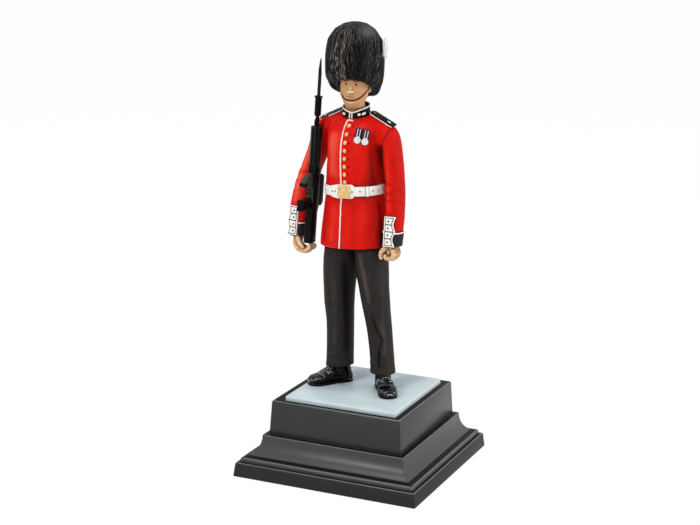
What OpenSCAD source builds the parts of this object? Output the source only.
// Toy soldier figure: a parade guardsman on a stepped plinth.
// Millimetres, +Z up, origin at the centre of the plinth's underside, the figure faces -Y.

/* [Plinth] */
// Width of the square foot step at the table
foot_w = 70; // [66:0.5:76]
// Height of the foot step
foot_h = 5.15; // [4:0.05:7]
// Inward draft of the foot step from bottom to top, both sides together
foot_draft = 1.1; // [0.4:0.1:2]
// Set-back of the cove's bottom from the foot step, each side
foot_step = 2.3; // [1.5:0.1:3]
// Depth that the cove curves in, each side
cove_run = 5.5; // [4.5:0.1:6]
// Height of the lip under the cove
cove_lip_h = 1.6; // [1:0.1:2.4]
// Height of the cove moulding, lip included
cove_h = 9.2; // [8:0.1:11]
// Set-back of the upper block from the cove's top edge, each side
block_step = 1.8; // [1.2:0.1:2.4]
// Inward draft of the block from bottom to top
block_draft = 1.35; // [0.5:0.05:2]
// Height of the upper block
block_h = 12.5; // [11:0.1:15]
// Wall of the foot step
foot_wall = 5; // [4:0.1:6]
// Wall of the cove at its top edge
cove_wall = 3.4; // [3:0.1:4]
// Wall of the block's locating skirt
skirt_wall = 2.2; // [1.6:0.1:3]
// Thickness of the block's top
block_roof = 2.6; // [2.2:0.1:3.4]
// Depth of the locating skirts that nest one step in the next
skirt_h = 2.6; // [2:0.1:3.4]

/* [Paving slab] */
// Width of the slab
slab_w = 42.3; // [40:0.1:44]
// Depth of the slab
slab_d = 43.4; // [41:0.1:44.6]
// Thickness of the slab
slab_t = 1.73; // [1.6:0.01:2.4]
// Sideways place of the slab on the block
slab_x = 0.9; // [-1.5:0.1:1.5]
// Place of the slab from front to back
slab_y = -1.1; // [-1.5:0.1:1]
// Diameter of the two pegs under the slab
slab_peg_d = 5; // [4:0.1:6]

/* [Stance] */
// Sideways place of the figure on the plinth
fig_x = -3.8; // [-4.4:0.1:-3]
// Place of the figure from front to back
fig_y = 0.5; // [-0.5:0.1:1]
// Turn of the figure, negative to its right
fig_yaw = -6; // [-10:0.5:0]
// Turn-out of each shoe
foot_turn = 35; // [30:1:40]
// Turn of the head to its left
head_turn = 15; // [8:1:20]
// Lean of the rifle in at its muzzle
rifle_lean = 3.7; // [3.4:0.1:3.9]

/* [Shoes and legs] */
// Length of a shoe
shoe_len = 17.2; // [16.8:0.1:18]
// Width of a shoe across the ball
shoe_w = 6.7; // [6.2:0.1:7.2]
// Thickness of the sole
sole_t = 0.95; // [0.8:0.05:1.1]
// Diameter of the peg under each shoe
shoe_peg_d = 2.4; // [2:0.1:2.8]
// Diameter of the post that carries each trouser leg
ankle_d = 5.6; // [5:0.1:6]
// Width of the right trouser leg at the knee
knee_w = 10.5; // [10.2:0.1:11]

/* [Tunic] */
// Width of the waist under the belt
waist_w = 21.8; // [21.2:0.1:22.2]
// Depth of the waist under the belt
waist_d = 17; // [16.4:0.1:17.6]
// Width of the skirt at its hem
hem_w = 26.8; // [26.4:0.1:27.4]
// Depth of the skirt at its hem
hem_d = 20; // [19.4:0.1:20.6]
// Depth of the chest
chest_d = 18.2; // [17.6:0.1:18.8]
// Height of the belt
belt_h = 3.4; // [3.2:0.1:4]
// Thickness of the belt
belt_t = 0.45; // [0.35:0.05:0.5]
// Diameter of a tunic button
button_d = 1.5; // [1.2:0.05:1.7]
// Number of buttons from collar to belt
button_n = 8; // [6:1:9]

/* [Head and bearskin] */
// Width of the bearskin
bearskin_w = 20.4; // [20:0.1:21]
// Height of the bearskin's top above the slab
bearskin_top = 131; // [130:0.1:133]
// Diameter of the neck spigot
neck_d = 6.4; // [6:0.1:6.8]
// Length of the plume
plume_len = 7.4; // [6:0.1:8]

/* [Rifle] */
// Length of the stock and receiver
receiver_len = 28.2; // [27.8:0.1:28.8]
// Length of the handguard
handguard_len = 14; // [13:0.1:14.5]
// Thickness of the stock and receiver
receiver_t = 2.7; // [2.4:0.1:2.9]
// Diameter of the flash hider
muzzle_d = 1.4; // [1.3:0.05:1.5]
// Length of the bayonet blade
blade_len = 13.2; // [11:0.1:14]

/* [Fits] */
// Radial clearance of the pegs that lift out
lift_gap = 0.08; // [0.03:0.01:0.1]
// Radial clearance of the glued pegs
glue_gap = 0.05; // [0.02:0.01:0.08]
// Clearance between the nested plinth steps, each side
nest_gap = 0.1; // [0.05:0.05:0.2]

/* [Hidden] */
$fn = 48;
eps = 0.01;

red = [0.78, 0.1, 0.08];
black = [0.06, 0.06, 0.07];
white = [0.93, 0.93, 0.9];
gilt = [0.72, 0.55, 0.22];
silver = [0.75, 0.75, 0.76];
flesh = [0.82, 0.52, 0.36];
charcoal = [0.17, 0.16, 0.17];
stone = [0.68, 0.73, 0.79];

// Plinth widths, each from the step below it
cove_low_w = foot_w - 2 * foot_step;
cove_top_w = cove_low_w - 2 * cove_run;
block_w = cove_top_w - 2 * block_step;
foot_hollow = foot_w - 2 * foot_wall;
cove_hollow = cove_top_w - 2 * cove_wall;
block_hollow = cove_hollow - 2 * (nest_gap + skirt_wall);
lip_out = 0.4;
lip_bevel = 0.5;

// Plinth levels
cove_z = foot_h;
block_z = cove_z + cove_h;
slab_z = block_z + block_h;
ground = slab_z + slab_t;
edge_r = 0.5;
slab_peg_x = 13;
slab_peg_y = 9;
slab_peg_len = 2;
shoe_peg_len = slab_t - 0.2;

// Tunic levels above the slab
hem_z = 52.4;
waist_z = 72.9;
neck_z = 98.9;
belt_roll = 4;
hem_roll = 3.5;
neck_pitch = 11;
skirt_ceiling = 54.6;
waist_lo = waist_z - belt_h / 2 - 0.1;
waist_hi = waist_z + belt_h / 2 + 0.1;
body_n = 32;

// Sections of the tunic: height, centre x and y, half width, half depth, squareness, pitch, roll
TUNIC = [
  [hem_z, -0.3, 0.2, hem_w / 2, hem_d / 2, 2.05, 0, hem_roll],
  [57, -0.3, 0.1, hem_w / 2 - 0.4, hem_d / 2 - 0.4, 2.1, 0, hem_roll],
  [63, -0.3, 0, (hem_w + waist_w) / 4 - 0.1, (hem_d + waist_d) / 4 - 0.1, 2.2, 0, hem_roll],
  [waist_lo, -0.3, -0.2, waist_w / 2, waist_d / 2, 2.3, 0, belt_roll],
  [waist_z, -0.3, -0.2, waist_w / 2, waist_d / 2, 2.3, 0, belt_roll],
  [waist_hi, -0.3, -0.2, waist_w / 2, waist_d / 2, 2.3, 0, belt_roll],
  [78, -0.4, -0.3, 10.4, chest_d / 2 - 0.2, 2.3, 0, belt_roll / 2],
  [84, -0.5, -0.2, 9.8, chest_d / 2 + 0.1, 2.4, 0, 0],
  [90, -0.6, 0, 9.7, chest_d / 2, 2.5, 0, 0],
  [94, -0.7, 0.4, 9.8, 8.1, 2.5, 1, 0],
  [96.4, -0.7, 0.7, 9.6, 7, 2.4, 4, 0],
  [97.8, -0.8, 0.7, 8.6, 6.1, 2.2, 8, 0],
  [98.5, -0.8, 0.6, 7, 5.6, 2, neck_pitch, 0],
  [neck_z, -0.9, 0.6, 5.1, 5.1, 2, neck_pitch, 0]];
SKIRT_LEVELS = [hem_z, 54.5, 57, 60, 63, 66.5, waist_lo, waist_z];
CHEST_LEVELS = [waist_z, waist_hi, 76, 78, 80, 82, 84, 86, 88, 90, 92, 94, 95.3, 96.4, 97.2, 97.8,
  98.2, 98.5, neck_z];

// Sections of the legs: height, centre x and y, half width, half depth, squareness
hem_pitch = -4;
right_hem_roll = 6;
left_hem_roll = -3;
RIGHT_LEG = [
  [6.3, -6.6, 0.6, 4.9, 5.6, 2.1, hem_pitch, right_hem_roll],
  [9, -6.6, 0.8, 4.8, 5.4, 2.1, hem_pitch / 2, right_hem_roll / 2],
  [15, -6.7, 1, 4.8, 5.3, 2.1, 0, 0],
  [23, -6.7, 0.9, 4.9, 5.4, 2.1, 0, 0],
  [30, -6.7, 0.1, knee_w / 2, 5.7, 2.1, 0, 0],
  [38, -6.6, 0, knee_w / 2 + 0.4, 6.3, 2.1, 0, 0],
  [46, -6.3, 0.2, knee_w / 2 + 0.8, 7, 2.1, 0, 0],
  [skirt_ceiling, -6.1, 0.3, knee_w / 2 + 0.3, 6.5, 2.1, 0, 0]];
LEFT_LEG = [
  [6.3, 11.1, 1.2, 4.3, 5.4, 2.1, hem_pitch / 2, left_hem_roll],
  [9, 10.8, 1.3, 4.15, 5.1, 2.1, hem_pitch / 4, left_hem_roll / 2],
  [15, 10.3, 1.2, 4.1, 5, 2.1, 0, 0],
  [23, 9.45, 0.9, 4.35, 5.1, 2.1, 0, 0],
  [30, 8.65, 0.1, 4.75, 5.5, 2.1, 0, 0],
  [38, 7.45, 0, 5.25, 6.1, 2.1, 0, 0],
  [46, 6.3, 0.2, 5.8, 6.9, 2.1, 0, 0],
  [skirt_ceiling, 5.8, 0.3, 5.4, 6.4, 2.1, 0, 0]];
LEG_LEVELS = [6.3, 7.6, 9, 12, 15, 19, 23, 26.5, 30, 34, 38, 42, 46, 50, skirt_ceiling];
right_ankle = [-6.4, 0.6];
left_ankle = [11.3, 1.2];
left_foot_extra = 5;
ankle_top = 11;
leg_split = 0.1;
hip_peg_x = 5.4;
hip_peg_y = 1;
hip_peg_d = 4;
hip_peg_len = 5;

// Sections of a shoe along its length: distance from the heel, half width, bottom, top
ball_w = shoe_w / 2;
last_len = 17.2;
last = shoe_len / last_len;
shoe_ankle = 4.6 * last;
SHOE = [
  [0, 1.3, 1.3, 2.9], [0.5 * last, 2.2, 0.7, 3.5], [2.4 * last, 2.7, 0.6, 4.1],
  [shoe_ankle, 2.8, 0.6, 4.6], [7 * last, 2.8, 0.6, 5.1], [9 * last, 2.9, 0.6, 5.1],
  [11.2 * last, ball_w - 0.2, 0.6, 4.3], [13.4 * last, ball_w, 0.6, 3.7],
  [15.4 * last, ball_w - 0.45, 0.6, 3.3], [16.6 * last, ball_w - 1.4, 0.7, 2.7],
  [shoe_len, ball_w - 2.5, 1.1, 1.9]];
SHOE_STEPS = [0, 0.5, 1.4, 2.4, 3.5, 4.6, 5.8, 7, 8, 9, 10.1, 11.2, 12.3, 13.4, 14.4, 15.4, 16.2,
  16.6, 17, last_len] * last;

// Sections of the sleeves: height, centre x and y, half width, half depth, squareness
left_cuff_z = 59.4;
right_cuff_z = 58.6;
cuff_h = 5;
LEFT_SLEEVE = [
  [left_cuff_z, 15.7, -1.3, 3.4, 3.7, 2, 0, 0],
  [64, 15.6, -0.4, 3.45, 3.8, 2, 0, 0],
  [70, 15.2, 0.5, 3.5, 4, 2, 0, 0],
  [76, 14.5, 1.1, 3.6, 4.2, 2, 0, 0],
  [84, 13.4, 1.1, 3.8, 4.5, 2, 0, 0],
  [90, 12.4, 1, 3.9, 4.8, 2, 0, 0],
  [94, 11.6, 0.9, 3.7, 4.5, 2, 0, -8],
  [96.2, 11, 0.8, 2.9, 3.4, 2, 0, -16],
  [97.2, 10.5, 0.8, 1.7, 2, 2, 0, -20]];
RIGHT_SLEEVE = [
  [right_cuff_z, -22.9, -1.7, 3.4, 3.8, 2, 0, 0],
  [64, -22.8, -1, 3.6, 4, 2, 0, 0],
  [70, -21.7, -0.1, 3.9, 4.3, 2, 0, 4],
  [76, -19.9, 0.5, 4.1, 4.5, 2, 0, 8],
  [84, -16.8, 1, 4.2, 4.6, 2, 0, 10],
  [90, -14.8, 1.2, 4.3, 4.8, 2, 0, 10],
  [94, -13.5, 1.1, 4.1, 4.5, 2, 0, 12],
  [96.6, -12.7, 0.9, 3.2, 3.5, 2, 0, 18],
  [97.8, -12, 0.8, 1.9, 2.2, 2, 0, 22]];
left_shoulder_x = 9.3;
right_shoulder_x = -10.7;
SLEEVE_STEPS = 17;
shoulder_peg_d = 3.2;
shoulder_peg_len = 4;
shoulder_peg_y = 1;
shoulder_peg_z = 91;
wrist_d = 3.8;
arm_gap = 0.15;
cuff_peg_d = 2.4;
cuff_peg_len = 1.6;
cuff_roof = 2.2;
cuff_flare = 0.3;
left_wrist = [15.6, -1.8];
right_wrist = [-22.6, -2.2];

// Cuff slashes: the tab with four bars that runs up the outside of each cuff
slash_w = 4.1;
slash_seat = 1.85;
slash_bow = 0.8;
slash_steps = 16;
slash_len = 10.5;
slash_t = 0.7;
slash_sink = 0.35;
slash_cut = 3;
slash_buttons = 4;
slash_pitch = -7;
left_slash_at = [15.8, -4.75, 59.7];
right_slash_at = [-23.1, -5.3, 59.2];
left_slash_yaw = 8;
right_slash_yaw = -5;

// Collar, shoulder straps and medals
collar_h = 3;
collar_bore = 8.4;
strap_len = 10;
strap_w = 3.6;
strap_t = 0.7;
left_strap_at = [4.9, 0.9, 100.15];
right_strap_at = [-6.5, 0.9, 100.35];
strap_drop = 25;
strap_roll = 5;
medal_at = [5.8, -7.3, 92.1];
medal_yaw = 26;
ribbon_w = 2.5;
ribbon_h = 3.3;
medal_r = 1.25;
medal_t = 0.55;

// Head, from the neck to the crown, in the head's own turned frame
head_x = -1.15;
head_y = -0.2;
crown_z = 116.6;
HEAD = [
  [99.4, 0, 1, 3.5, 3.7, 2, neck_pitch, 0],
  [101.6, 0, 0.5, 3.6, 4, 2, neck_pitch / 2, 0],
  [103.2, 0, -1, 3.5, 5, 2.1, 0, 0],
  [105, 0, -0.8, 4.4, 5.6, 2.1, 0, 0],
  [107.5, 0, -0.3, 4.9, 6.1, 2.1, 0, 0],
  [110, 0, 0.1, 5.1, 6.3, 2.1, 0, 0],
  [113, 0, 0.3, 5, 6.2, 2.1, 0, 0],
  [115.2, 0, 0.4, 4, 5.2, 2.1, 0, 0],
  [crown_z, 0, 0.4, 2.4, 3.2, 2, 0, 0]];
HEAD_LEVELS = [99.4, 100.6, 101.6, 102.4, 103.2, 104, 105, 106.2, 107.5, 108.7, 110, 111.5, 113,
  114.2, 115.2, 116, crown_z];
spigot_len = 6;
socket_gap = 0.45;
socket_w = 9.8;
socket_d = 12.6;
socket_crown = 3.2;
hat_r = bearskin_w / 2;
rim_pitch = -27;
rim_z = 108.1;
BEARSKIN = [
  [rim_z, -0.3, 0.2, hat_r - 1.6, hat_r - 1.5, 2, rim_pitch, 0],
  [111, -0.4, 0.3, hat_r - 0.3, hat_r - 0.3, 2, rim_pitch * 0.7, 0],
  [115, -0.35, 0.3, hat_r, hat_r, 2.1, rim_pitch * 0.4, 0],
  [120, -0.3, 0.2, hat_r - 0.1, hat_r - 0.1, 2.1, rim_pitch * 0.15, 0],
  [125, -0.25, 0.1, hat_r - 0.9, hat_r - 0.9, 2.1, 0, 0],
  [128.6, -0.3, 0, hat_r - 3.2, hat_r - 3.1, 2, 0, 0],
  [130.4, -0.2, 0, hat_r - 6, hat_r - 5.9, 2, 0, 0],
  [bearskin_top, -0.2, 0, 1.6, 1.6, 2, 0, 0]];
BEARSKIN_LEVELS = [rim_z, 109.5, 111, 113, 115, 117.5, 120, 122.5, 125, 127, 128.6, 129.7, 130.4,
  bearskin_top];
plume_z = 118.6;
plume_r = 1.15;
plume_peg_d = 1.4;
chain_r = 0.42;
chain_steps = 20;
chain_low = 104.3;
chain_rise = 4;
chain_out = 0.1;

// Rifle, in its own frame: the butt plate at the origin, the muzzle up
rifle_at = [-16.2, -5, 52.1];
rifle_pitch = 0.5;
butt_front = -2.4;
belly = -2;
spine = 2.3;
heel = 1.5;
handguard_w = 3.6;
handguard_d = 4.4;
barrel_d = 1.3;
barrel_root = 3;
handguard_z = receiver_len;
hider_z = handguard_z + handguard_len + 3.4;
hider_len = 6.5;
hilt_d = 2.3;
guard_h = 0.7;
hilt_roof = 0.9;
tang_d = 0.7;
butt_peg_d = 1.5;
butt_peg_len = 3;
mag_z = 12.9;
mag_h = 3.8;
mag_reach = 6.5;
mag_t = 1.9;
mag_well = 1;
sight_z = 13.7;
sight_len = 11.1;

// Catmull-Rom blend of four values
function blend(a, b, c, d, t) =
  0.5 * (2 * b + (c - a) * t + (2 * a - 5 * b + 4 * c - d) * t * t + (3 * b - a - 3 * c + d) * t * t * t);

// Index of the row of K that starts the span holding v
function span(K, v, i = 0) = (i >= len(K) - 2 || v <= K[i + 1][0]) ? i : span(K, v, i + 1);

// Row of K interpolated at v, its first column
function row_at(K, v) =
  let (i = span(K, v), a = K[max(i - 1, 0)], b = K[i], c = K[i + 1], d = K[min(i + 2, len(K) - 1)],
       t = (v - b[0]) / (c[0] - b[0]))
  [for (k = [0:len(b) - 1]) k == 0 ? v : blend(a[k], b[k], c[k], d[k], t)];

// Signed power, for superellipse corners
function bend(v, e) = sign(v) * pow(abs(v), e);

// Level section: row is height, centre, half sizes, squareness, pitch and roll
function section(row, n, grow = 0) =
  [for (j = [0:n - 1])
    let (a = 360 * j / n, x = (row[3] + grow) * bend(cos(a), 2 / row[5]),
         y = (row[4] + grow) * bend(sin(a), 2 / row[5]))
    [row[1] + x, row[2] + y, row[0] + x * tan(row[7]) + y * tan(row[6])]];

// Upright section across a shoe: row is distance from the heel, half width, bottom and top
function shoe_section(row, n) =
  [for (j = [0:n - 1])
    let (a = 360 * j / n, x = row[1] * bend(cos(a), 0.8), z = (row[3] - row[2]) / 2 * bend(sin(a), 0.8))
    [x, shoe_ankle - row[0], (row[2] + row[3]) / 2 + z]];

// Heights spread evenly over the rows of K
function even(K, steps) =
  [for (i = [0:steps]) K[0][0] + (K[len(K) - 1][0] - K[0][0]) * i / steps];

// Front of the tunic at height z and sideways place x
function tunic_front(z, x) =
  let (r = row_at(TUNIC, z), u = min(abs(x - r[1]) / r[3], 0.999))
  r[2] - r[4] * pow(1 - pow(u, r[5]), 1 / r[5]);

function mid(points) = [for (k = [0:2]) [for (q = points) q[k]] * [for (q = points) 1] / len(points)];

// Closed solid through a stack of rings that all have the same number of points
module skin(rings) {
  n = len(rings[0]);
  m = len(rings);
  sides = [for (k = [0:m - 2], j = [0:n - 1], half = [0, 1])
    let (a = k * n + j, b = k * n + (j + 1) % n, c = b + n, d = a + n)
    half == 0 ? [a, d, c] : [a, c, b]];
  bottom = [for (j = [0:n - 1]) [m * n, j, (j + 1) % n]];
  top = [for (j = [0:n - 1]) [m * n + 1, (m - 1) * n + (j + 1) % n, (m - 1) * n + j]];
  points = concat([for (r = rings, q = r) q], [mid(rings[0]), mid(rings[m - 1])]);
  polyhedron(points = points, faces = concat(sides, bottom, top), convexity = 8);
}

// Solid through the rows of K at the given levels
module loft(K, levels, n, grow = 0) {
  skin([for (z = levels) section(row_at(K, z), n, grow)]);
}

// Square with rounded corners, as a ring at height z
function square_ring(w, d, z, r) =
  [for (c = [0:3], s = [0:3])
    let (a = 90 * c + 30 * s, sx = (c == 0 || c == 3) ? 1 : -1, sy = c < 2 ? 1 : -1)
    [sx * (w / 2 - r) + r * cos(a), sy * (d / 2 - r) + r * sin(a), z]];

// Square prism from z0 to z1 that tapers and has rounded corners
module taper_block(w0, w1, z0, z1, r) {
  skin([square_ring(w0, w0, z0, r), square_ring(w1, w1, z1 - r, r),
        square_ring(w1 - r, w1 - r, z1, r / 2)]);
}

module square_well(w, z0, z1) {
  translate([-w / 2, -w / 2, z0]) cube([w, w, z1 - z0]);
}

// Frames
module on_figure() {
  translate([fig_x, fig_y, ground]) rotate([0, 0, fig_yaw]) children();
}

module on_head() {
  translate([head_x, head_y, 0]) rotate([0, 0, head_turn]) children();
}

module on_rifle() {
  translate(rifle_at) rotate([rifle_pitch, rifle_lean, 0]) children();
}

module on_shoe(ankle, turn) {
  translate([ankle[0], ankle[1], 0]) rotate([0, 0, turn]) children();
}

// Side profile in the rifle's y and z, t thick about the middle plane
module rifle_plate(t) {
  translate([-t / 2, 0, 0]) rotate([90, 0, 90]) linear_extrude(t) children();
}

// Plinth
module plinth_foot() {
  color(black) difference() {
    taper_block(foot_w, foot_w - foot_draft, 0, foot_h, edge_r);
    square_well(foot_hollow, -1, foot_h + 1);
  }
}

module plinth_cove() {
  steps = 8;
  rise = cove_h - cove_lip_h;
  run = (cove_low_w - cove_top_w) / 2;
  curve = [for (i = [0:steps])
    let (a = 90 - 90 * i / steps)
    square_ring(cove_low_w - 2 * run * cos(a), cove_low_w - 2 * run * cos(a),
                block_z - rise * sin(a), edge_r)];
  lip_w = cove_low_w + 2 * lip_out;
  lip = [square_ring(lip_w, lip_w, cove_z, edge_r),
         square_ring(lip_w, lip_w, cove_z + cove_lip_h - lip_bevel, edge_r)];
  color(black) difference() {
    union() {
      skin(concat(lip, curve));
      square_well(foot_hollow - 2 * nest_gap, cove_z - skirt_h, cove_z + 0.5);
    }
    square_well(cove_hollow, cove_z - skirt_h - 1, block_z + 1);
  }
}

module plinth_block() {
  color(black) difference() {
    union() {
      taper_block(block_w, block_w - block_draft, block_z, slab_z, edge_r);
      square_well(cove_hollow - 2 * nest_gap, block_z - skirt_h, block_z + 0.5);
    }
    square_well(block_hollow, block_z - skirt_h - 1, slab_z - block_roof);
    for (s = [-1, 1])
      translate([slab_x + s * slab_peg_x, slab_y + slab_peg_y, slab_z - block_roof - 1])
        cylinder(d = slab_peg_d + 2 * lift_gap, h = block_roof + 2);
  }
}

module paving_slab() {
  color(stone) difference() {
    union() {
      translate([slab_x, slab_y, 0])
        skin([square_ring(slab_w, slab_d, slab_z, edge_r),
              square_ring(slab_w, slab_d, ground - 0.3, edge_r),
              square_ring(slab_w - 0.5, slab_d - 0.5, ground, edge_r)]);
      for (s = [-1, 1])
        translate([slab_x + s * slab_peg_x, slab_y + slab_peg_y, slab_z - slab_peg_len])
          cylinder(d = slab_peg_d, h = slab_peg_len + 0.5);
    }
    on_figure() for (a = [right_ankle, left_ankle])
      translate([a[0], a[1], -slab_t - 1])
        cylinder(d = shoe_peg_d + 2 * lift_gap, h = slab_t + 2);
  }
}

// Shoes
module sole_outline(grow, from, to) {
  side = [for (s = SHOE_STEPS) if (s >= from && s <= to) [row_at(SHOE, s)[1] + grow, shoe_ankle - s]];
  polygon(concat(side, [for (i = [len(side) - 1:-1:0]) [-side[i][0], side[i][1]]]));
}

module shoe(ankle, turn) {
  heel_end = 5.8 * last + eps;
  tread_from = 8 * last - eps;
  on_figure() color(black) on_shoe(ankle, turn) {
    skin([for (s = SHOE_STEPS) shoe_section(row_at(SHOE, s), 16)]);
    translate([0, 0, sole_t / 2]) linear_extrude(sole_t / 2) sole_outline(0.15, 0, shoe_len);
    linear_extrude(sole_t / 2 + eps) sole_outline(0.15, 0, heel_end);
    linear_extrude(sole_t / 2 + eps) sole_outline(0.15, tread_from, shoe_len);
    translate([0, 0, -shoe_peg_len]) cylinder(d = shoe_peg_d, h = shoe_peg_len + 1);
    translate([0, 0, 2]) cylinder(d = ankle_d, h = ankle_top - 2);
  }
}

module right_shoe() { shoe(right_ankle, -foot_turn); }

module left_shoe() { shoe(left_ankle, foot_turn + left_foot_extra); }

// Trouser legs
module leg(K, side, ankle) {
  on_figure() color(charcoal) {
    difference() {
      loft(K, LEG_LEVELS, 24);
      translate([side > 0 ? leg_split - 30 : leg_split, -20, 20]) cube([30, 40, 50]);
      translate([ankle[0], ankle[1], -1]) cylinder(d = ankle_d + 2 * glue_gap, h = ankle_top + 1);
    }
    translate([side * hip_peg_x, hip_peg_y, skirt_ceiling - 1])
      cylinder(d = hip_peg_d, h = hip_peg_len + 1);
  }
}

module right_leg() { leg(RIGHT_LEG, -1, right_ankle); }

module left_leg() { leg(LEFT_LEG, 1, left_ankle); }

// Tunic
waist_peg_d = 6;
waist_peg_len = 6;

module tunic_skirt() {
  wall = 1.1;
  hem = TUNIC[0];
  on_figure() color(red) difference() {
    loft(TUNIC, SKIRT_LEVELS, body_n);
    skin([for (z = [hem_z - 1, skirt_ceiling])
      section([z, hem[1], hem[2], hem[3], hem[4], hem[5], 0, 0], body_n, -wall)]);
    for (s = [-1, 1])
      translate([s * hip_peg_x, hip_peg_y, skirt_ceiling - 1])
        cylinder(d = hip_peg_d + 2 * glue_gap, h = hip_peg_len + 1);
    translate([TUNIC[4][1], 0, waist_z - waist_peg_len])
      cylinder(d = waist_peg_d + 2 * glue_gap, h = waist_peg_len + 2);
    loft(LEFT_SLEEVE, even(LEFT_SLEEVE, 8), 20, arm_gap);
    cuff_body(LEFT_SLEEVE, left_wrist, arm_gap);
    skirt_strip();
  }
}

module tunic_chest() {
  on_figure() color(red) {
    difference() {
      loft(TUNIC, CHEST_LEVELS, body_n);
      on_head() translate([0, 0, neck_z - spigot_len])
        cylinder(d = neck_d + 2 * glue_gap, h = spigot_len + 4);
      for (s = [-1, 1])
        translate([s > 0 ? left_shoulder_x : right_shoulder_x, shoulder_peg_y, shoulder_peg_z])
          rotate([0, -s * 90, 0])
            translate([0, 0, -2]) cylinder(d = shoulder_peg_d + 2 * glue_gap, h = shoulder_peg_len + 2);
      front_strip();
      front_button_row(shanks = true);
      medal_plate();
      strap(left_strap_at, 1);
      strap(right_strap_at, -1);
    }
    translate([TUNIC[4][1], 0, waist_z - waist_peg_len])
      cylinder(d = waist_peg_d, h = waist_peg_len + 1);
  }
}

// Piping along the tunic's front edge, let into the cloth
piping_x = -1.4;
piping_w = 0.55;
piping_proud = 0.2;
piping_sink = 0.5;

module strip(levels) {
  skin([for (z = levels)
    let (y = tunic_front(z, piping_x), x0 = piping_x - piping_w / 2, x1 = piping_x + piping_w / 2)
    [[x0, y - piping_proud, z], [x1, y - piping_proud, z], [x1, y + piping_sink, z],
     [x0, y + piping_sink, z]]]);
}

module skirt_strip() { strip([hem_z + 0.1, 54.5, 57, 60, 63, 66.5, waist_lo - 0.5]); }

module front_strip() { strip([waist_hi + 0.5, 76, 78, 80, 82, 84, 86, 88, 90, 92, 94, 95.3, 96.4]); }

module skirt_piping() { on_figure() color(white) skirt_strip(); }

module front_piping() { on_figure() color(white) front_strip(); }

// Domed button with its back at the origin, facing -Y, and a shank behind
module dome(d, shank) {
  rise = d * 0.28;
  rotate([90, 0, 0]) {
    intersection() {
      translate([0, 0, rise - d]) sphere(d);
      cylinder(d = d, h = rise + 1);
    }
    translate([0, 0, -shank]) cylinder(d = d * 0.5, h = shank + rise / 3);
  }
}

button_low = 76.2;
button_high = 95.7;
button_x = 0.25;
button_sink = 0.25;

module front_button_row(shanks = false) {
  for (i = [0:button_n - 1]) {
    z = button_low + (button_high - button_low) * i / (button_n - 1);
    translate([button_x, tunic_front(z, button_x) + button_sink, z]) {
      if (shanks) rotate([90, 0, 0]) {
        translate([0, 0, -1]) cylinder(d = button_d * 0.5, h = 1.5);
        cylinder(d = button_d, h = 2);
      }
      else dome(button_d, 1);
    }
  }
}

module front_buttons() { on_figure() color(gilt) front_button_row(); }

// Belt, buckle and keeper
buckle_w = 5;
buckle_h = 4.5;
buckle_t = 0.9;
keeper_w = 1.3;
keeper_yaw = 42;
keeper_t = 1.1;

function belt_rows(lo, hi) = [for (z = [lo, hi]) concat([z], [for (k = [1:7]) TUNIC[4][k]])];

module belt_ring(h, grow) {
  skin([for (r = belt_rows(waist_z - h / 2, waist_z + h / 2)) section(r, body_n, grow)]);
}

module buckle_plate() {
  y = tunic_front(waist_z, 0) - belt_t + 0.3;
  translate([0.2 - buckle_w / 2, y - buckle_t, waist_z - buckle_h / 2]) cube([buckle_w, buckle_t, buckle_h]);
}

module keeper_plate() {
  x = 7.9;
  y = tunic_front(waist_z, x) - belt_t / 2;
  translate([x, y, waist_z + x * tan(belt_roll)]) rotate([0, -belt_roll, keeper_yaw])
    translate([-keeper_w / 2, -keeper_t / 2, -belt_h / 2 - 0.15]) cube([keeper_w, keeper_t, belt_h + 0.3]);
}

module belt() {
  on_figure() color(white) difference() {
    belt_ring(belt_h, belt_t);
    belt_ring(belt_h + 2, 0);
    buckle_plate();
    keeper_plate();
  }
}

module belt_buckle() {
  on_figure() color(gilt) difference() {
    buckle_plate();
    belt_ring(belt_h + 2, 0);
  }
}

module belt_keeper() {
  on_figure() color(gilt) difference() {
    keeper_plate();
    belt_ring(belt_h + 2, 0);
  }
}

// Collar, on the pitched neck opening
module collar() {
  on_figure() color(black) difference() {
    skin([for (s = [[0, 5], [0.5 * collar_h, 4.85], [collar_h, 4.75]])
      section([neck_z + s[0], TUNIC[13][1] - 0.15, 0.6, s[1], s[1], 2, neck_pitch, 0], body_n)]);
    on_head() translate([0, 0.6, neck_z - 3]) cylinder(d = collar_bore, h = 12);
  }
}

// Shoulder strap running down from the collar, side 1 for the left
module strap(at, side) {
  translate(at) rotate([strap_roll, side * strap_drop, 0]) {
    translate([side > 0 ? 0 : -strap_len, -strap_w / 2, -strap_t / 2]) cube([strap_len, strap_w, strap_t]);
    translate([side * 1.4, 0, 0]) cylinder(d = 1.2, h = strap_t);
  }
}

module left_epaulette() { on_figure() color(black) strap(left_strap_at, 1); }

module right_epaulette() { on_figure() color(black) strap(right_strap_at, -1); }

// Two medals on one bar
module medal_plate() {
  translate(medal_at) rotate([0, 0, medal_yaw]) {
    translate([-ribbon_w - 0.2, -medal_t / 2, 0]) cube([2 * ribbon_w + 0.4, 1.4, ribbon_h]);
    for (s = [-1, 1])
      translate([s * (ribbon_w / 2 + 0.1), medal_t / 2, -medal_r + 0.4])
        rotate([90, 0, 0]) translate([0, 0, -0.7]) cylinder(r = medal_r, h = medal_t + 0.7);
  }
}

module medals() { on_figure() color(silver) medal_plate(); }

// Sleeves
module shoulder_cut(side) {
  x = side > 0 ? left_shoulder_x : right_shoulder_x;
  translate([side > 0 ? x - 20 : x, -20, 78]) cube([20, 40, 30]);
}

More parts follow.
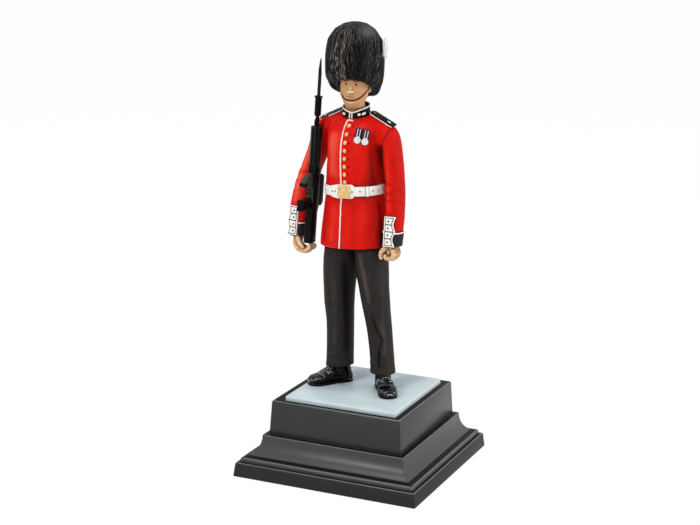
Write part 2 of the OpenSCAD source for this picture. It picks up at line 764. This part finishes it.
module sleeve(K, side, strap_place) {
  x = side > 0 ? left_shoulder_x : right_shoulder_x;
  on_figure() color(red) {
    difference() {
      loft(K, even(K, SLEEVE_STEPS), 20);
      shoulder_cut(side);
      strap(strap_place, side);
      slash_plate(side, slash_cut);
      if (side < 0) handguard_block(arm_gap);
    }
    translate([x + side, shoulder_peg_y, shoulder_peg_z]) rotate([0, -side * 90, 0])
      cylinder(d = shoulder_peg_d, h = shoulder_peg_len + 1 - 0.1);
    translate([K[0][1], K[0][2], K[0][0] - cuff_peg_len]) cylinder(d = cuff_peg_d, h = cuff_peg_len + 1);
  }
}

module left_sleeve() { sleeve(LEFT_SLEEVE, 1, left_strap_at); }

module right_sleeve() { sleeve(RIGHT_SLEEVE, -1, right_strap_at); }

// Cuffs
module cuff_body(K, wrist, grow) {
  base = K[0];
  skin([
    section([base[0] - cuff_h, wrist[0], wrist[1], base[3] - 0.1, base[4] - 0.2, 2, 0, 0],
      20, cuff_flare + grow),
    section([base[0] - 0.6, base[1], base[2], base[3], base[4], 2, 0, 0], 20, cuff_flare + grow),
    section([base[0], base[1], base[2], base[3], base[4], 2, 0, 0], 20, 0.1 + grow)]);
}

module cuff(K, side, wrist) {
  base = K[0];
  low = base[0] - cuff_h;
  on_figure() color(black) difference() {
    cuff_body(K, wrist, 0);
    translate([wrist[0], wrist[1], low - 1])
      cylinder(d = wrist_d + 2 * glue_gap, h = cuff_h - cuff_roof + 1);
    translate([base[1], base[2], base[0] - cuff_peg_len])
      cylinder(d = cuff_peg_d + 2 * glue_gap, h = cuff_peg_len + 1);
    slash_plate(side, slash_cut);
  }
}

module left_cuff() { cuff(LEFT_SLEEVE, 1, left_wrist); }

module right_cuff() { cuff(RIGHT_SLEEVE, -1, right_wrist); }

// Frame of a slash: its middle, facing outward along -Y
module on_slash(side) {
  translate(side > 0 ? left_slash_at : right_slash_at)
    rotate([0, 0, side > 0 ? left_slash_yaw : right_slash_yaw]) rotate([slash_pitch, 0, 0]) children();
}

// Three points along the outer edge, with a hollow curve between each two
module slash_outline() {
  edge = [for (i = [0:slash_steps])
    let (t = i / slash_steps)
    [slash_w - slash_seat - slash_bow * abs(sin(360 * t)), slash_len * (t - 0.5)]];
  polygon(concat([[-slash_seat, slash_len / 2], [-slash_seat, -slash_len / 2]], edge));
}

module slash_plate(side, t = slash_t) {
  on_slash(side) translate([0, slash_sink, 0]) rotate([90, 0, 0]) linear_extrude(t)
    scale([side, 1]) slash_outline();
}

module slash_button_row(side, shanks = false) {
  pitch = slash_len / slash_buttons;
  d = 0.9;
  on_slash(side) for (i = [0:slash_buttons - 1])
    translate([0, slash_sink - slash_t, pitch * (i - (slash_buttons - 1) / 2)]) {
      if (shanks) rotate([90, 0, 0]) translate([0, 0, -0.4]) cylinder(d = d * 0.5, h = 0.6);
      else dome(d, 0.4);
    }
}

module cuff_slash(side) {
  on_figure() color(white) difference() {
    slash_plate(side);
    slash_button_row(side, true);
  }
}

module left_cuff_slash() { cuff_slash(1); }

module right_cuff_slash() { cuff_slash(-1); }

module left_cuff_buttons() { on_figure() color(gilt) slash_button_row(1); }

module right_cuff_buttons() { on_figure() color(gilt) slash_button_row(-1); }

// Hands
hand_n = 16;
LEFT_HAND = [
  [48.8, 15, -2.4, 1.4, 1.9, 2.2, 0, 0], [49.6, 15, -2.4, 2.2, 2.9, 2.3, 0, 0],
  [51.1, 15.1, -2.3, 2.6, 3.5, 2.3, 0, 0], [52.7, 15.3, -2, 2.5, 3.3, 2.2, 0, 0],
  [54.3, 15.5, -1.8, 1.9, 2.5, 2, 0, 0]];

module left_hand() {
  on_figure() color(flesh) {
    loft(LEFT_HAND, even(LEFT_HAND, 8), hand_n);
    translate([left_wrist[0], left_wrist[1], 52])
      cylinder(d = wrist_d, h = left_cuff_z - cuff_roof - 52);
  }
}

// Right hand lies along X under the butt: distance, centre y and z, half sizes
RIGHT_HAND = [
  [-24.2, -2.9, 51.8, 1, 1.1], [-23.4, -3, 51.5, 2, 2], [-21.6, -3.6, 50.8, 2.5, 2.5],
  [-19.2, -4.5, 50.2, 2.6, 2.4], [-17, -4.9, 50.1, 2.6, 2.2], [-15.3, -5, 50.8, 2.2, 1.5],
  [-14.6, -5, 51.2, 1.1, 0.9]];

module right_hand() {
  on_figure() color(flesh) {
    difference() {
      skin([for (x = even(RIGHT_HAND, 10))
        let (r = row_at(RIGHT_HAND, x))
        [for (j = [0:hand_n - 1])
          let (a = 360 * j / hand_n) [x, r[1] + r[3] * cos(a), r[2] + r[4] * sin(a)]]]);
      on_rifle() translate([-4, butt_front - 2, 0]) cube([8, 9, 20]);
    }
    translate([right_wrist[0], right_wrist[1], 51])
      cylinder(d = wrist_d, h = right_cuff_z - cuff_roof - 51);
    on_rifle() translate([0, 0, -0.8]) cylinder(d = butt_peg_d, h = butt_peg_len + 0.8);
  }
}

// Head
module head() {
  on_figure() color(flesh) on_head() {
    difference() {
      loft(HEAD, HEAD_LEVELS, 24);
      chain();
    }
    translate([0, 0, neck_z - spigot_len]) cylinder(d = neck_d, h = spigot_len + 2);
    translate([0, -6.1, 107.3]) rotate([-12, 0, 0]) scale(1) cylinder(d1 = 1.9, d2 = 0.9, h = 2.6);
    for (s = [-1, 1])
      translate([s * 4.7, 0.7, 107.6]) rotate([0, s * 8, 0]) cylinder(d = 1.1, h = 2.4);
  }
}

// Path of the chin chain on the head: from temple to temple under the lip
function chain_point(t) =
  let (a = 270 + 92 * t, z = chain_low + chain_rise * pow(abs(t), 1.6), r = row_at(HEAD, z))
  [r[1] + (r[3] + chain_out) * cos(a), r[2] + (r[4] + chain_out) * sin(a), z];

module chain() {
  skin([for (i = [0:chain_steps])
    let (t = -1 + 2 * i / chain_steps, q = chain_point(t), away = [q[0], q[1] + 0.3, 0],
         out = away / norm(away))
    [q - chain_r * out + [0, 0, chain_r], q - chain_r * out - [0, 0, chain_r],
     q + chain_r * out - [0, 0, chain_r], q + chain_r * out + [0, 0, chain_r]]]);
}

module chin_chain() { on_figure() color(gilt) on_head() chain(); }

module bearskin() {
  on_figure() color(black) on_head() difference() {
    loft(BEARSKIN, BEARSKIN_LEVELS, 28);
    skin([
      section([rim_z - socket_d, 0, 0.2, socket_w / 2, socket_d / 2, 2.1, 0, 0], 16, socket_gap + 0.6),
      section([crown_z - socket_crown, 0, 0.2, socket_w / 2, socket_d / 2, 2.1, 0, 0], 16, socket_gap + 0.6),
      section([crown_z, 0, 0.4, 3, 3.8, 2, 0, 0], 16, socket_gap)]);
    translate([hat_r - 2.5, 0, plume_z + 1.6]) rotate([0, 90, 0])
      cylinder(d = plume_peg_d + 2 * glue_gap, h = 5);
  }
}

module plume() {
  x = hat_r + 0.35;
  on_figure() color(white) on_head() {
    difference() {
      skin([for (s = [[0, 0.5], [0.12, 0.9], [0.45, 1], [0.8, 0.9], [0.95, 0.6], [1, 0.25]])
        section([plume_z + plume_len * s[0], x, 0, plume_r * s[1] * 0.8, plume_r * s[1], 2, 0, 0], 12)]);
      loft(BEARSKIN, BEARSKIN_LEVELS, 28);
    }
    translate([hat_r - 2.4, 0, plume_z + 1.6]) rotate([0, 90, 0]) cylinder(d = plume_peg_d, h = 3.2);
  }
}

// Rifle
module rifle_receiver() {
  on_figure() color(black) on_rifle() difference() {
    rifle_plate(receiver_t) polygon([
      [butt_front + 0.4, 0], [heel - 0.4, 0], [heel, 0.7], [heel, 11], [spine, 13], [spine, 25.4],
      [spine - 0.6, receiver_len], [belly + 0.5, receiver_len], [belly, 25.4], [belly, 12],
      [butt_front, 9], [butt_front, 0.6]]);
    translate([0, 0, -1]) cylinder(d = butt_peg_d + 2 * glue_gap, h = butt_peg_len + 1);
    translate([0, 0, receiver_len - barrel_root]) cylinder(d = barrel_d + 2 * glue_gap, h = barrel_root + 1);
    magazine_box(glue_gap);
  }
}

module magazine_box(grow) {
  translate([-mag_t / 2 - grow, belly - mag_reach, mag_z - grow])
    cube([mag_t + 2 * grow, mag_reach + mag_well, mag_h + 2 * grow]);
}

module rifle_magazine() { on_figure() color(black) on_rifle() magazine_box(0); }

module handguard_block(grow) {
  w = handguard_w / 2 + grow;
  d = handguard_d / 2 + grow;
  cut = 1.1;
  on_rifle() translate([0, 0, handguard_z - grow]) linear_extrude(handguard_len + 2 * grow)
    polygon([[w, cut - d], [w, d - cut], [w - cut, d], [cut - w, d], [-w, d - cut], [-w, cut - d],
             [cut - w, -d], [w - cut, -d]]);
}

module rifle_handguard() {
  on_figure() color(black) difference() {
    handguard_block(0);
    on_rifle() translate([0, 0, handguard_z - 1])
      cylinder(d = barrel_d + 2 * glue_gap, h = handguard_len + 2);
  }
}

module rifle_barrel() {
  on_figure() color(black) on_rifle() {
    translate([0, 0, receiver_len - barrel_root])
      cylinder(d = barrel_d, h = hider_z - receiver_len + barrel_root + 1);
    translate([0, 0, hider_z]) cylinder(d = muzzle_d, h = hider_len);
  }
}

module rifle_grip() {
  on_figure() color([0.3, 0.33, 0.28]) on_rifle() {
    rifle_plate(1.9) polygon([
      [belly, 19.6], [belly, 25.6], [belly - 2.9, 25.2], [belly - 4.4, 24], [belly - 5.5, 22.7],
      [belly - 5.6, 21.7], [belly - 4.8, 21.1], [belly - 2.5, 20.8], [belly - 0.9, 19.9]]);
  }
}

module rifle_sight() {
  on_figure() color(black) on_rifle() {
    translate([-0.8, spine, sight_z + 1]) cube([1.6, 0.9, sight_len - 2.5]);
    translate([-1.1, spine + 0.7, sight_z]) cube([2.2, 2.4, sight_len - 1]);
    translate([0, spine + 1.9, sight_z - 0.8]) cylinder(d = 1.9, h = sight_len);
  }
}

// Bayonet, slipped over the flash hider
module bayonet_hilt() {
  z = hider_z + 0.4;
  top = hider_z + hider_len + hilt_roof;
  on_figure() color(black) on_rifle() difference() {
    union() {
      translate([0, 0, z]) cylinder(d = hilt_d, h = top - z);
      translate([-1.3, -0.7, top - guard_h]) cube([2.6, 1.4, guard_h]);
    }
    translate([0, 0, z - 1]) cylinder(d = muzzle_d + 2 * lift_gap, h = hider_z + hider_len - z + 1);
    translate([0, 0, top - 2]) cylinder(d = tang_d + 2 * glue_gap, h = 4);
  }
}

module bayonet_blade() {
  top = hider_z + hider_len + hilt_roof;
  blade_w = 1.1;
  on_figure() color(silver) on_rifle() {
    translate([0, 0, top]) rotate([90, 0, 0]) translate([0, 0, -0.25]) linear_extrude(0.5)
      polygon([[-blade_w / 2, 0], [blade_w / 2, 0], [blade_w / 2, blade_len * 0.6],
               [0.15, blade_len], [-0.05, blade_len], [-blade_w / 2, blade_len * 0.7]]);
    translate([0, 0, top - hilt_roof + 0.1]) cylinder(d = tang_d, h = hilt_roof + 0.4);
  }
}

plinth_foot();
plinth_cove();
plinth_block();
paving_slab();
right_shoe();
left_shoe();
right_leg();
left_leg();
tunic_skirt();
tunic_chest();
skirt_piping();
front_piping();
front_buttons();
belt();
belt_buckle();
belt_keeper();
collar();
right_epaulette();
left_epaulette();
medals();
right_sleeve();
left_sleeve();
right_cuff();
left_cuff();
right_cuff_slash();
left_cuff_slash();
right_cuff_buttons();
left_cuff_buttons();
right_hand();
left_hand();
head();
chin_chain();
bearskin();
plume();
rifle_receiver();
rifle_handguard();
rifle_barrel();
rifle_grip();
rifle_magazine();
rifle_sight();
bayonet_hilt();
bayonet_blade();
